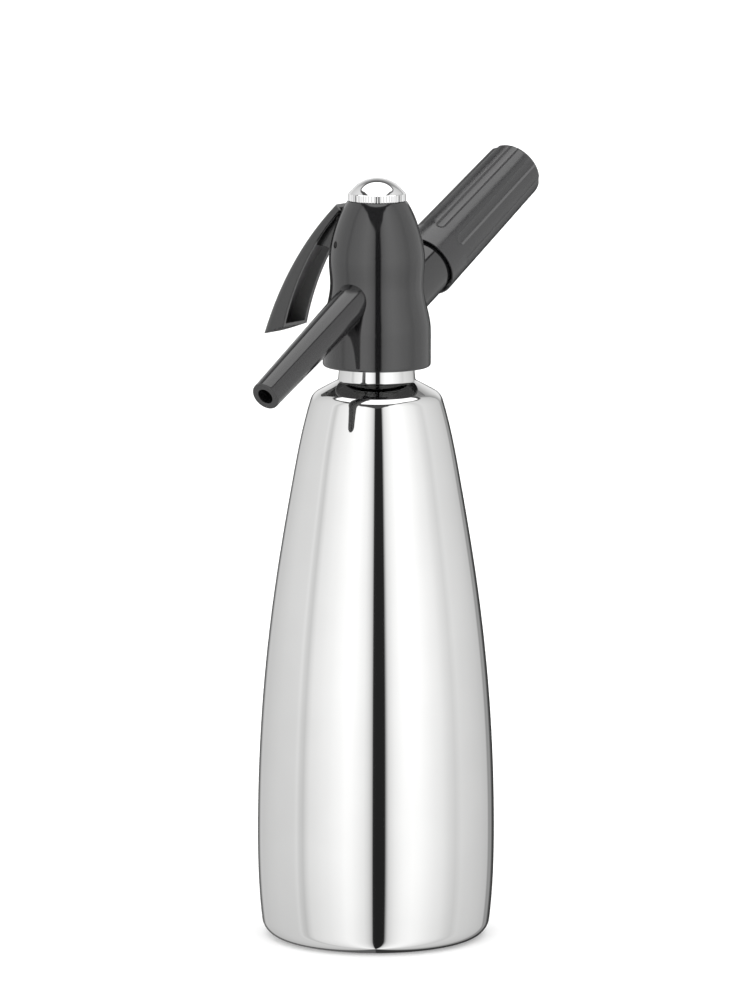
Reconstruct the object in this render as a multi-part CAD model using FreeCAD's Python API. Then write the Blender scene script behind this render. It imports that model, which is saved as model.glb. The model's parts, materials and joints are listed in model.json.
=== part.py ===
import FreeCAD, Part
import math
import os

from FreeCAD import Placement, Rotation, Vector

# Soda siphon, millimetres.  +Z is up, and the origin is the centre of the bottle's foot.
# The nozzle points to -Y, the charger holder to +Y, and the lever hangs at -X.
# Threads are modelled as rings at their real pitch and diameter.

# ---------------------------------------------------------------- clearances
RUN = 0.06               # radial clearance of a running or sliding fit
GAP = 0.10               # gap between faces of pieces that move apart
SIDE = 0.30              # side clearance of the lever's arm in its window
ROOM = 0.25              # loose room round a piece that is dropped in
OVER = 1.0               # how far a cutter reaches past what it cuts
EDGE = 0.3               # broken edges

# ---------------------------------------------------------------- threads
THREAD_ROOT = 0.34       # half width of a crest's foot and top, as shares of the pitch
THREAD_TOP = 0.12
THREAD_END = 0.5         # plain stretch at a thread's end
THREAD_LEAD = 0.4        # depth of its lead-in

# ---------------------------------------------------------------- bottle
BOTTLE_WALL = 0.8
FOOT_R = 39.7            # radius where the flat foot ends and its corner starts
FOOT_CORNER = 7.4
FOOT_LEAN = 7.0          # degrees that the side still opens above that corner
PUNT_R = 33.0            # radius of the raised middle of the foot
PUNT_RISE = 5.0
BELLY_R = 48.85          # widest place
BELLY_Z = 50.0
SIDE_R = 46.85           # three more places on the side: radius and height
SIDE_Z = 98.0
MID_SIDE_R = 41.8
MID_SIDE_Z = 145.0
UPPER_SIDE_R = 34.2
UPPER_SIDE_Z = 191.5
SHOULDER_R = 26.4        # corner between side and shoulder, before rounding
SHOULDER_Z = 225.6
SHOULDER_LEAN = 0.32     # radius lost per height gained just under that corner
SHOULDER_SLOPE = 0.54    # height gained per radius lost on the shoulder
SHOULDER_CORNER = 6.5

# ---------------------------------------------------------------- neck
NECK_HEIGHT = 24.4       # from the shoulder's corner to the rim
NECK_R = 15.4
NECK_RING_WALL = 2.0
NECK_FLARE = 1.6         # hollow corner between neck and shoulder
NECK_THREAD = 10.0       # length
NECK_THREAD_DEPTH = 0.8
NECK_THREAD_PITCH = 3.0

# ---------------------------------------------------------------- head
HEAD_OVERLAP = 13.0      # how far its skirt reaches below the bottle's rim
HEAD_HEIGHT = 68.0
HEAD_CORNER = 1.3
HEAD_SKIRT_R = 22.2
HEAD_SKIRT = 14.5        # height of the straight skirt
HEAD_NARROWING_R = 20.7  # the side between skirt and waist
HEAD_NARROWING = 9.7     # height above the skirt
HEAD_WAIST_R = 19.2
HEAD_WAIST = 9.3         # height above that place, and so on upwards
HEAD_BULGE_R = 19.7
HEAD_BULGE = 8.5
HEAD_UPPER_R = 17.1
HEAD_UPPER = 10.7        # height below the head's top
HEAD_TOP_R = 12.1
HEAD_TOP_LEAN = 0.75     # radius lost per height gained at the top
HEAD_MOUTH_CHAMFER = 1.0
SEAL_LAND = 4.96         # width of the gasket's face in the head
GAS_ROOM_HEIGHT = 2.0
SEAT_RISE = 2.6          # from the riser's ring to the underside of the valve seat
OUTLET_ROOM_STEP = 1.0   # how much narrower the outlet room is than the gland
OUTLET_R = 3.0           # hole from that room to the nozzle
OUTLET_ROOM_HEIGHT = 15.0
GLAND_R = 8.0
GLAND_HEIGHT = 8.0
GLAND_WALL = 1.5         # left round the gland under the lever's window
SPRING_ROOM_STEP = 0.8   # how much wider the spring's room is than the gland
CAP_BORE_STEP = 0.8      # and the cap's bore than that room
CAP_BORE_DEPTH = 8.0

# ---------------------------------------------------------------- top cap
CAP_INSET = 0.2          # how far the cap's ring stands in from the head's edge
CAP_RING_HEIGHT = 3.2
CAP_DOME_INSET = 0.6     # and its dome from that ring
CAP_DOME_HEIGHT = 6.1
CAP_WALL = 2.3           # of the threaded skirt
CAP_HOLLOW = 0.7         # height of its hollow above the ring
CAP_THREAD = 6.5         # length
CAP_THREAD_DEPTH = 0.6
CAP_THREAD_PITCH = 1.5
CAP_KNURLS = 60
CAP_KNURL_DEPTH = 0.3
CAP_KNURL_SHARE = 0.8    # of the ring's edge that the notches take
CAP_GASKET_WIDTH = 1.6
CAP_GASKET_THICK = 0.9

# ---------------------------------------------------------------- tubes and rings in the neck
RISER_R = 4.25
RISER_WALL = 1.15
RISER_BOTTOM_Z = 12.0
RISER_COLLAR = 3.25      # width
RISER_COLLAR_THICK = 1.5
RISER_NOTCH = 4.0
RISER_RING = 1.95        # width of its groove
RISER_RING_HEIGHT = 2.2
MEASURE_ROOM = 1.2       # round the measuring tube, inside the bottle's neck
MEASURE_WALL = 1.0
MEASURE_LENGTH = 45.0
MEASURE_FLANGE_INSET = 0.6  # how far its flange stands in from the neck's outside
WEB_THICK = 1.2          # web of the measuring tube, which lies on the rim
GASKET_THICK = 1.8
GAS_HOLES = 6
GAS_HOLE_R = 0.9

# ---------------------------------------------------------------- valve
SEAT_THICK = 3.0
SEAT_BORE_R = 3.0
SEAT_LIP = 1.2
SEAL_STEP = 1.6          # how much wider the seal is than the seat's bore
SEAL_THICK = 2.6
SCREW_R = 1.2
SCREW_HEAD_R = 2.3
SCREW_HEAD = 1.1
SCREW_REACH = 4.0
SCREW_SLOT = 0.6         # width; the slot is half as deep as the head
FLANGE_STEP = 0.8        # and the spindle's flange
FLANGE_THICK = 1.0
STEM_R = 2.0             # spindle below its piston
PISTON_R = 3.4
PISTON_LENGTH = 6.0
PISTON_INSET = 1.0       # how far above the gland's foot it starts
SPINDLE_R = 2.5          # spindle above its piston
SPINDLE_SPARE = 2.2      # end of the spindle above the spring washer
ORING_THICK = 1.3
ORING_DEPTH = 1.0
NUT_R = 5.0              # across corners, halved
NUT_THICK = 3.0
WASHER_STEP = 0.9        # how far the washer stands out past the spring
WASHER_THICK = 0.8
SPRING_R = 5.0           # to the middle of the wire
SPRING_WIRE_R = 0.5
SPRING_TURNS = 6
GLAND_STEP = 1.4         # width of the step for its ring
GLAND_RING_THICK = 1.2
SPANNER_HOLE_R = 0.8
SPANNER_HOLE = 2.0       # depth

# ---------------------------------------------------------------- lever
PIN_U = 9.2              # the pin's distance from the siphon's axis, towards the lever
PIN_RISE = 4.8           # height above the gland
PIN_R = 1.4
PIN_LENGTH = 31.4
LEVER_TOP_OUT = 3.9      # the lever's outer line, from top to tip: distance from the head's top edge
LEVER_TOP_DROP = 1.9     # and below it
LEVER_MID_OUT = 19.2     # then from each place to the next
LEVER_MID_DROP = 22.1
LEVER_TIP_OUT = 17.2
LEVER_TIP_DROP = 33.9
LEVER_TOP_DEPTH = 3.2    # depth of the channel's sides at the upper two places
LEVER_MID_DEPTH = 5.4
LEVER_HEEL_IN = 11.2     # lower end of the channel's sides: distance from the tip
LEVER_HEEL_RISE = 3.8    # and above it
LEVER_WALL = 1.8
LEVER_WEB = 1.2          # closes the channel above its slanting end
LEVER_TOP_WIDTH = 15.0
LEVER_TIP_WIDTH = 17.6
LEVER_TOP_ROUND = 1.8    # rounding of its long outer edges, from top to tip
LEVER_TIP_ROUND = 4.0
ARM_HALF_WIDTH = 4.3
BOSS_R = 3.2
NOSE_R = 1.8             # rounded end of the fork, which lifts the nut
NOSE_RISE = 0.4          # height of its middle above the pin
TINE_ROOM = 0.25         # between tines and spindle
FORK_BACK_ROOM = 0.75    # between the fork's root and the spindle
NUT_ROOM = 0.4           # round the nut
TINE_STEP = 1.0
TINE_ROUND = 0.6
ARM_ROUND = 2.0
ARM_HOLLOW_ROUND = 4.0   # between fork and boss, underneath
ARM_CHIN_ROUND = 10.0    # under the boss, towards the channel
ARM_RISE = 2.0           # how much the arm rises to meet the channel
WINDOW_UNDER = 7.5       # how far the window for the arm reaches below the pin
WINDOW_OVER = 9.2        # and above it

# ---------------------------------------------------------------- nozzle, along its own axis
NOZZLE_SLOPE = 27.5      # degrees below level
NOZZLE_CROSS_DROP = 1.0  # how far below the outlet room's top its axis meets the siphon's axis
NOZZLE_LENGTH = 77.4
NOZZLE_NARROWING = 1.4   # radius lost from root to tip
NOZZLE_TIP_ROUND = 0.6
NOZZLE_ROOT_R = 7.4
NOZZLE_BORE_R = 3.3
SPIGOT_STEP = 2.2        # how much narrower the spigot is than the nozzle's root
SPIGOT_START = 11.2
SPIGOT_LENGTH = 5.3
NOZZLE_ROOT = 9.5        # length of its straight root

# ---------------------------------------------------------------- charger port, along its own axis
PORT_SLOPE = 27.2        # degrees above level
PORT_CROSS_RISE = 7.2    # how far above the bottle's rim its axis meets the siphon's axis
PORT_R = 12.3
PORT_ROOT = 12.0
PORT_SHOULDER = 41.4     # end of the smooth part and start of its thread
PORT_THREAD = 10.8       # length of its thread
PORT_THREAD_INSET = 1.3
PORT_THREAD_DEPTH = 0.8
PORT_THREAD_PITCH = 2.5
PORT_BORE_R = 8.0
PORT_MOUTH = 7.4         # depth of the port's end beyond the piercer
CHECK_ROOM = 6.0         # length of the room behind the piercer
GAS_WAY_R = 1.0

# ---------------------------------------------------------------- charger and what opens it
CHARGER_R = 9.0
CHARGER_STAND = 0.8      # from the piercer's face to the charger's tip
CHARGER_LENGTH = 65.5
CHARGER_NECK_R = 4.45
CHARGER_NECK = 9.5
CHARGER_SHOULDER = 7.0
CHARGER_WALL = 1.5
CHARGER_TIP_WALL = 2.4
CHARGER_TIP_ROUND = 0.8
CHARGER_NECK_ROUND = 2.5
CHARGER_SHOULDER_ROUND = 5.0
PIERCER_LENGTH = 14.6
PIERCER_R = 1.1
PIERCER_REACH = 3.0      # how far the pin stands inside the charger
PIERCER_HOLE_R = 0.4
PIERCER_POINT = 1.5      # length
PIERCER_FLANGE = 1.2
PIERCED_ROOM = 0.15
CHARGER_SEAL_R = 6.2
CHARGER_SEAL_THICK = 3.0
FILTER_R = 3.6
FILTER_LENGTH = 5.0
CHECK_INSET = 0.4        # room round its edge
CHECK_THICK = 2.5
CHECK_RIM = 1.2          # width of its rim
CHECK_DISH = 0.8         # depth inside the rim

# ---------------------------------------------------------------- charger holder
HOLDER_SKIRT = 2.9       # how far its skirt covers the port
HOLDER_SKIRT_WALL = 0.7
HOLDER_WALL = 3.35       # at its far end
HOLDER_END_WALL = 3.4
HOLDER_SKIRT_ROOM = 0.8
HOLDER_SKIRT_PAST = 0.8  # how far its plain skirt reaches past the port's shoulder
HOLDER_THREAD = 12.5     # length of its threaded stretch
HOLDER_ROUND = 2.6
HOLDER_FLUTES = 8
HOLDER_PLAIN = 13.2      # length of the plain band before the flutes
HOLDER_FLUTE_R = 3.6
HOLDER_FLUTE_DEPTH = 1.0
HOLDER_FLUTE_PHASE = 20.0

# ---------------------------------------------------------------- places that follow from these
MOUTH_Z = SHOULDER_Z + NECK_HEIGHT
NECK_TUBE_R = NECK_R - NECK_RING_WALL
HEAD_BOTTOM_Z = MOUTH_Z - HEAD_OVERLAP
HEAD_TOP_Z = HEAD_BOTTOM_Z + HEAD_HEIGHT
HEAD_SKIRT_TOP_Z = HEAD_BOTTOM_Z + HEAD_SKIRT
HEAD_NARROWING_Z = HEAD_SKIRT_TOP_Z + HEAD_NARROWING
HEAD_WAIST_Z = HEAD_NARROWING_Z + HEAD_WAIST
HEAD_BULGE_Z = HEAD_WAIST_Z + HEAD_BULGE
HEAD_UPPER_Z = HEAD_TOP_Z - HEAD_UPPER
MEASURE_R = NECK_TUBE_R - BOTTLE_WALL - MEASURE_ROOM
MEASURE_FLANGE_R = NECK_R - MEASURE_FLANGE_INSET
GAS_ROOM_R = NECK_R + RUN - SEAL_LAND
RISER_COLLAR_R = RISER_R + RISER_COLLAR
GAS_HOLE_CIRCLE_R = (RISER_COLLAR_R + MEASURE_R - MEASURE_WALL) / 2
RISER_RING_R = RISER_R + RISER_RING
WEB_Z = MOUTH_Z + GAP
GASKET_Z = WEB_Z + WEB_THICK
SEAL_FACE_Z = GASKET_Z + GASKET_THICK + GAP
GAS_ROOM_TOP_Z = SEAL_FACE_Z + GAS_ROOM_HEIGHT
RISER_RING_TOP_Z = GAS_ROOM_TOP_Z + RISER_RING_HEIGHT
SEAT_Z = RISER_RING_TOP_Z + SEAT_RISE
OUTLET_ROOM_TOP_Z = SEAT_Z + OUTLET_ROOM_HEIGHT
OUTLET_ROOM_R = GLAND_R - OUTLET_ROOM_STEP
GLAND_TOP_Z = OUTLET_ROOM_TOP_Z + GLAND_HEIGHT
GLAND_STEP_R = GLAND_R - GLAND_STEP
SPRING_ROOM_R = GLAND_R + SPRING_ROOM_STEP
CAP_BORE_R = SPRING_ROOM_R + CAP_BORE_STEP
CAP_BORE_BOTTOM_Z = HEAD_TOP_Z - CAP_BORE_DEPTH
SEAL_R = SEAT_BORE_R + SEAL_STEP
FLANGE_R = SEAT_BORE_R + FLANGE_STEP
WASHER_R = SPRING_R + SPRING_WIRE_R + WASHER_STEP
PIN_Z = GLAND_TOP_Z + PIN_RISE
NOSE_Z = PIN_Z + NOSE_RISE
WINDOW_BOTTOM_Z = PIN_Z - WINDOW_UNDER
WINDOW_TOP_Z = PIN_Z + WINDOW_OVER
LEVER_TOP_U = HEAD_TOP_R + LEVER_TOP_OUT
LEVER_TOP_Z = HEAD_TOP_Z - LEVER_TOP_DROP
LEVER_MID_U = LEVER_TOP_U + LEVER_MID_OUT
LEVER_MID_Z = LEVER_TOP_Z - LEVER_MID_DROP
LEVER_TIP_U = LEVER_MID_U + LEVER_TIP_OUT
LEVER_TIP_Z = LEVER_MID_Z - LEVER_TIP_DROP
NOZZLE_CROSS_Z = OUTLET_ROOM_TOP_Z - NOZZLE_CROSS_DROP
NOZZLE_SHOULDER = SPIGOT_START + SPIGOT_LENGTH
NOZZLE_TAPER_START = NOZZLE_SHOULDER + NOZZLE_ROOT
NOZZLE_END = SPIGOT_START + NOZZLE_LENGTH
NOZZLE_TIP_R = NOZZLE_ROOT_R - NOZZLE_NARROWING
SPIGOT_R = NOZZLE_ROOT_R - SPIGOT_STEP
PORT_CROSS_Z = MOUTH_Z + PORT_CROSS_RISE
PORT_END = PORT_SHOULDER + PORT_THREAD
PORT_THREAD_R = PORT_R - PORT_THREAD_INSET
PIERCER_END = PORT_END - PORT_MOUTH
PIERCER_START = PIERCER_END - PIERCER_LENGTH
PORT_BORE_START = PIERCER_START - CHECK_ROOM
GAS_WAY_START = PORT_BORE_START + GAS_WAY_R
CHECK_R = PORT_BORE_R - CHECK_INSET
CHARGER_START = PIERCER_END + CHARGER_STAND
SEAT_TOP_Z = SEAT_Z + SEAT_THICK + SEAT_LIP
SEAL_Z = SEAT_TOP_Z + GAP
FLANGE_Z = SEAL_Z + SEAL_THICK
PISTON_Z = OUTLET_ROOM_TOP_Z + PISTON_INSET
NUT_Z = NOSE_Z + NOSE_R + GAP
WASHER_Z = NUT_Z + NUT_THICK
SPRING_Z = WASHER_Z + WASHER_THICK
SPINDLE_TOP_Z = SPRING_Z + SPINDLE_SPARE
CAP_Z = HEAD_TOP_Z + GAP
CAP_R = HEAD_TOP_R - CAP_INSET
CAP_DOME_R = CAP_R - CAP_DOME_INSET
CAP_RING_TOP_Z = CAP_Z + CAP_RING_HEIGHT
CAP_HOLLOW_TOP_Z = CAP_RING_TOP_Z + CAP_HOLLOW
CAP_SKIRT_R = CAP_BORE_R - RUN
CAP_HOLLOW_R = CAP_SKIRT_R - CAP_WALL
CHARGER_END = CHARGER_START + CHARGER_LENGTH
CHARGER_SEAL_START = CHARGER_START - GAP - CHARGER_SEAL_THICK
HOLDER_BORE_R = CHARGER_R + ROOM
HOLDER_END = CHARGER_END + ROOM + HOLDER_END_WALL
HOLDER_START = PORT_SHOULDER - HOLDER_SKIRT
HOLDER_SKIRT_R = PORT_R + HOLDER_SKIRT_ROOM
HOLDER_MOUTH_R = HOLDER_SKIRT_R + HOLDER_SKIRT_WALL
HOLDER_END_R = HOLDER_BORE_R + HOLDER_WALL
HOLDER_FLUTE_START = HOLDER_START + HOLDER_PLAIN
HOLDER_SKIRT_END = PORT_SHOULDER + HOLDER_SKIRT_PAST

ZERO = Vector(0, 0, 0)
UP = Vector(0, 0, 1)
NOZZLE_PLACE = Placement(Vector(0, 0, NOZZLE_CROSS_Z), Rotation(Vector(1, 0, 0), 90 + NOZZLE_SLOPE))
PORT_PLACE = Placement(Vector(0, 0, PORT_CROSS_Z), Rotation(Vector(1, 0, 0), PORT_SLOPE - 90))


# ---------------------------------------------------------------- helpers
def save(name, shape):
    shape.exportStep("parts/" + name + ".step")


def outline(corners):
    """Closed wire in the XZ plane.  A corner is (x, z) or (x, z, radius)."""
    starts = []
    ends = []
    edges = []
    count = len(corners)
    for i in range(count):
        here = Vector(corners[i][0], 0, corners[i][1])
        before = Vector(corners[i - 1][0], 0, corners[i - 1][1])
        after = Vector(corners[(i + 1) % count][0], 0, corners[(i + 1) % count][1])
        radius = corners[i][2] if len(corners[i]) > 2 else 0
        if radius == 0:
            starts.append(here)
            ends.append(here)
            edges.append(None)
            continue
        back = (before - here).normalize()
        ahead = (after - here).normalize()
        half = back.getAngle(ahead) / 2
        reach = radius / math.tan(half)
        middle = here + (back + ahead).normalize() * (radius / math.sin(half) - radius)
        starts.append(here + back * reach)
        ends.append(here + ahead * reach)
        edges.append(Part.Arc(starts[i], middle, ends[i]).toShape())
    pieces = []
    for i in range(count):
        if edges[i] is not None:
            pieces.append(edges[i])
        following = starts[(i + 1) % count]
        if ends[i].distanceToPoint(following) > 1e-6:
            pieces.append(Part.makeLine(ends[i], following))
    return Part.Wire(pieces)


def turned(corners):
    """Solid turned about the Z axis from an outline of (radius, height) corners."""
    return Part.Face(outline(corners)).revolve(ZERO, UP, 360)


def turned_edges(edges):
    return Part.Face(Part.Wire(edges)).revolve(ZERO, UP, 360)


def extruded(corners, half_width):
    """Solid of an XZ outline that reaches half_width to both sides in Y."""
    face = Part.Face(outline(corners))
    face.translate(Vector(0, -half_width, 0))
    return face.extrude(Vector(0, 2 * half_width, 0))


def rod(r, low, high):
    return Part.makeCylinder(r, high - low, Vector(0, 0, low))


def tube(outer, inner, low, high):
    return turned([(inner, low), (outer, low), (outer, high), (inner, high)])


def rubber_ring(outer, inner, low, high):
    corner = 0.3 * min(outer - inner, high - low)
    return turned([(inner, low, corner), (outer, low, corner),
                   (outer, high, corner), (inner, high, corner)])


def crests(root, outer, low, high, pitch):
    """Outline corners of a threaded stretch, from its low end to its high end."""
    corners = [(root, low)]
    z = low + pitch / 2
    while z + pitch / 2 <= high:
        corners += [(root, z - pitch * THREAD_ROOT), (outer, z - pitch * THREAD_TOP),
                    (outer, z + pitch * THREAD_TOP), (root, z + pitch * THREAD_ROOT)]
        z += pitch
    return corners + [(root, high)]


def around(shape, count, phase=0.0):
    copies = []
    for i in range(count):
        copy = shape.copy()
        copy.rotate(ZERO, UP, phase + 360.0 * i / count)
        copies.append(copy)
    return copies


def placed(shape, placement):
    moved = shape.copy()
    moved.Placement = placement.multiply(moved.Placement)
    return moved


def dome_arc(r, z, rise):
    """Line of a shallow dome, part of a sphere, from its rim (r, z) to its top on the axis."""
    sphere_r = (r * r + rise * rise) / (2 * rise)
    centre = Vector(0, 0, z + rise - sphere_r)
    half = math.asin(r / sphere_r) / 2
    middle = centre + Vector(math.sin(half), 0, math.cos(half)) * sphere_r
    return Part.Arc(Vector(r, 0, z), middle, Vector(0, 0, z + rise)).toShape()


def circles(shape):
    whole = [edge for edge in shape.Edges if not edge.Degenerated]
    return [edge for edge in whole if edge.Curve.TypeId == "Part::GeomCircle"]


def rounded_circles(shape, r, z, radius):
    """The shape with its circular edges of radius r at height z rounded."""
    picked = []
    for edge in circles(shape):
        if abs(edge.Curve.Radius - r) < 0.01 and abs(edge.Curve.Center.z - z) < 0.01:
            picked.append(edge)
    return shape.makeFillet(radius, picked)


# ---------------------------------------------------------------- bottle
def shoulder_z(r):
    return SHOULDER_Z + SHOULDER_SLOPE * (SHOULDER_R - r)


def bottle_solid(inset, top):
    """The bottle's outer form, or with an inset the room inside its wall."""
    foot = inset
    corner = FOOT_CORNER - inset
    bend = Vector(FOOT_R, 0, FOOT_CORNER)
    lean = math.radians(FOOT_LEAN)
    diagonal = corner * math.sqrt(0.5)
    heel_end = bend + Vector(corner * math.cos(lean), 0, -corner * math.sin(lean))
    punt = dome_arc(PUNT_R, foot, PUNT_RISE)
    flat = Part.makeLine(Vector(PUNT_R, 0, foot), Vector(FOOT_R, 0, foot))
    heel = Part.Arc(Vector(FOOT_R, 0, foot), bend + Vector(diagonal, 0, -diagonal), heel_end).toShape()
    # The corner point moves along the shoulder's own slope when the wall is set in.
    drop = inset * (math.sqrt(1 + SHOULDER_SLOPE ** 2) - SHOULDER_SLOPE)
    corner_point = Vector(SHOULDER_R - inset, 0, SHOULDER_Z - drop)
    places = [(BELLY_R, BELLY_Z), (SIDE_R, SIDE_Z), (MID_SIDE_R, MID_SIDE_Z), (UPPER_SIDE_R, UPPER_SIDE_Z)]
    curve = Part.BSplineCurve()
    curve.interpolate(Points=[heel_end] + [Vector(r - inset, 0, z) for r, z in places] + [corner_point],
                      InitialTangent=Vector(math.tan(lean), 0, 1),
                      FinalTangent=Vector(-SHOULDER_LEAN, 0, 1))
    neck_r = NECK_TUBE_R - inset
    rise = SHOULDER_SLOPE * (corner_point.x - neck_r)
    neck_foot = corner_point + Vector(neck_r - corner_point.x, 0, rise)
    shoulder = Part.makeLine(corner_point, neck_foot)
    neck = Part.makeLine(neck_foot, Vector(neck_r, 0, top))
    lid = Part.makeLine(Vector(neck_r, 0, top), Vector(0, 0, top))
    axis = Part.makeLine(Vector(0, 0, top), Vector(0, 0, foot + PUNT_RISE))
    solid = turned_edges([punt, flat, heel, curve.toShape(), shoulder, neck, lid, axis])
    return rounded_circles(solid, corner_point.x, corner_point.z, SHOULDER_CORNER - inset)


def bottle():
    return bottle_solid(0, MOUTH_Z).cut(bottle_solid(BOTTLE_WALL, MOUTH_Z + OVER))


def neck_ring():
    foot_r = NECK_R + NECK_FLARE * 2
    thread_high = MOUTH_Z - THREAD_END
    thread_low = thread_high - NECK_THREAD
    threads = crests(NECK_R - NECK_THREAD_DEPTH, NECK_R, thread_low, thread_high, NECK_THREAD_PITCH)
    corners = [(NECK_TUBE_R, shoulder_z(NECK_TUBE_R)), (foot_r, shoulder_z(foot_r)),
               (NECK_R, shoulder_z(NECK_R), NECK_FLARE), (NECK_R, thread_low)]
    corners += threads
    corners += [(NECK_R - NECK_THREAD_DEPTH - THREAD_LEAD, MOUTH_Z), (NECK_TUBE_R, MOUTH_Z)]
    return turned(corners)


# ---------------------------------------------------------------- head
def head_body():
    side = Part.BSplineCurve()
    side.interpolate(Points=[Vector(HEAD_SKIRT_R, 0, HEAD_SKIRT_TOP_Z),
                             Vector(HEAD_NARROWING_R, 0, HEAD_NARROWING_Z),
                             Vector(HEAD_WAIST_R, 0, HEAD_WAIST_Z),
                             Vector(HEAD_BULGE_R, 0, HEAD_BULGE_Z),
                             Vector(HEAD_UPPER_R, 0, HEAD_UPPER_Z),
                             Vector(HEAD_TOP_R, 0, HEAD_TOP_Z)],
                     InitialTangent=Vector(0, 0, 1), FinalTangent=Vector(-HEAD_TOP_LEAN, 0, 1))
    low_axis = Vector(0, 0, HEAD_BOTTOM_Z)
    low_rim = Vector(HEAD_SKIRT_R, 0, HEAD_BOTTOM_Z)
    high_rim = Vector(HEAD_TOP_R, 0, HEAD_TOP_Z)
    high_axis = Vector(0, 0, HEAD_TOP_Z)
    edges = [Part.makeLine(low_axis, low_rim),
             Part.makeLine(low_rim, Vector(HEAD_SKIRT_R, 0, HEAD_SKIRT_TOP_Z)),
             side.toShape(), Part.makeLine(high_rim, high_axis), Part.makeLine(high_axis, low_axis)]
    body = rounded_circles(turned_edges(edges), HEAD_SKIRT_R, HEAD_BOTTOM_Z, HEAD_CORNER)

    thread = crests(PORT_THREAD_R - PORT_THREAD_DEPTH, PORT_THREAD_R,
                    PORT_SHOULDER, PORT_END - THREAD_END, PORT_THREAD_PITCH)
    port = turned([(0, PORT_ROOT), (PORT_R, PORT_ROOT), (PORT_R, PORT_SHOULDER, EDGE)] + thread
                  + [(PORT_THREAD_R - PORT_THREAD_DEPTH - THREAD_LEAD, PORT_END), (0, PORT_END)])
    body = body.fuse(placed(port, PORT_PLACE))

    below = HEAD_BOTTOM_Z - OVER
    above = HEAD_TOP_Z + OVER
    mouth_r = NECK_R + RUN
    bores = turned([(0, below), (mouth_r + HEAD_MOUTH_CHAMFER + OVER, below),
                    (mouth_r, HEAD_BOTTOM_Z + HEAD_MOUTH_CHAMFER), (mouth_r, SEAL_FACE_Z),
                    (GAS_ROOM_R, SEAL_FACE_Z),
                    (GAS_ROOM_R, GAS_ROOM_TOP_Z), (RISER_RING_R, GAS_ROOM_TOP_Z),
                    (RISER_RING_R, RISER_RING_TOP_Z), (RISER_R + RUN, RISER_RING_TOP_Z),
                    (RISER_R + RUN, SEAT_Z), (OUTLET_ROOM_R, SEAT_Z),
                    (OUTLET_ROOM_R, OUTLET_ROOM_TOP_Z), (GLAND_R, OUTLET_ROOM_TOP_Z),
                    (GLAND_R, GLAND_TOP_Z), (SPRING_ROOM_R, GLAND_TOP_Z),
                    (SPRING_ROOM_R, CAP_BORE_BOTTOM_Z), (CAP_BORE_R, CAP_BORE_BOTTOM_Z),
                    (CAP_BORE_R, HEAD_TOP_Z - CAP_GASKET_THICK),
                    (CAP_BORE_R + CAP_GASKET_WIDTH, HEAD_TOP_Z - CAP_GASKET_THICK),
                    (CAP_BORE_R + CAP_GASKET_WIDTH, above), (0, above)])
    window = Part.makeBox(HEAD_SKIRT_R, 2 * (ARM_HALF_WIDTH + SIDE), WINDOW_TOP_Z - WINDOW_BOTTOM_Z,
                          Vector(-HEAD_SKIRT_R - PIN_U / 2, -ARM_HALF_WIDTH - SIDE, WINDOW_BOTTOM_Z))
    gland_keep = rod(GLAND_R + GLAND_WALL, WINDOW_BOTTOM_Z - OVER, GLAND_TOP_Z)
    pin_hole = Part.makeCylinder(PIN_R, 2 * HEAD_SKIRT_R, Vector(-PIN_U, -HEAD_SKIRT_R, PIN_Z),
                                 Vector(0, 1, 0))
    port_bore = placed(rod(PORT_BORE_R, PORT_BORE_START, PORT_END + OVER), PORT_PLACE)
    outlet = placed(rod(OUTLET_R, SPINDLE_R, SPIGOT_START + OVER), NOZZLE_PLACE)
    spigot_hole = placed(rod(SPIGOT_R, SPIGOT_START, NOZZLE_SHOULDER + OVER), NOZZLE_PLACE)
    nozzle_hole = placed(rod(NOZZLE_ROOT_R, NOZZLE_SHOULDER, NOZZLE_END), NOZZLE_PLACE)
    gas_from = PORT_PLACE.multVec(Vector(0, 0, GAS_WAY_START))
    gas_to = Vector(0, RISER_COLLAR_R + GAS_WAY_R, (SEAL_FACE_Z + GAS_ROOM_TOP_Z) / 2)
    gas_way = Part.makeCylinder(GAS_WAY_R, gas_from.distanceToPoint(gas_to), gas_from,
                                gas_to - gas_from)
    return body.cut([bores, window.cut(gland_keep), pin_hole, port_bore, outlet, spigot_hole,
                     nozzle_hole, gas_way])


def lever_pin():
    pin = Part.makeCylinder(PIN_R, PIN_LENGTH, Vector(-PIN_U, -PIN_LENGTH / 2, PIN_Z), Vector(0, 1, 0))
    return pin.makeChamfer(EDGE, circles(pin))


def nozzle():
    groove_low = (SPIGOT_START + NOZZLE_SHOULDER - ORING_THICK) / 2
    groove_high = groove_low + ORING_THICK
    solid = turned([(NOZZLE_BORE_R, SPIGOT_START), (SPIGOT_R, SPIGOT_START, EDGE),
                    (SPIGOT_R, groove_low), (SPIGOT_R - ORING_DEPTH, groove_low),
                    (SPIGOT_R - ORING_DEPTH, groove_high), (SPIGOT_R, groove_high),
                    (SPIGOT_R, NOZZLE_SHOULDER), (NOZZLE_ROOT_R, NOZZLE_SHOULDER),
                    (NOZZLE_ROOT_R, NOZZLE_TAPER_START), (NOZZLE_TIP_R, NOZZLE_END, NOZZLE_TIP_ROUND),
                    (NOZZLE_BORE_R, NOZZLE_END, EDGE)])
    return placed(solid, NOZZLE_PLACE)


def nozzle_oring():
    low = (SPIGOT_START + NOZZLE_SHOULDER - ORING_THICK) / 2
    return placed(rubber_ring(SPIGOT_R, SPIGOT_R - ORING_DEPTH, low, low + ORING_THICK), NOZZLE_PLACE)


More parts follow.
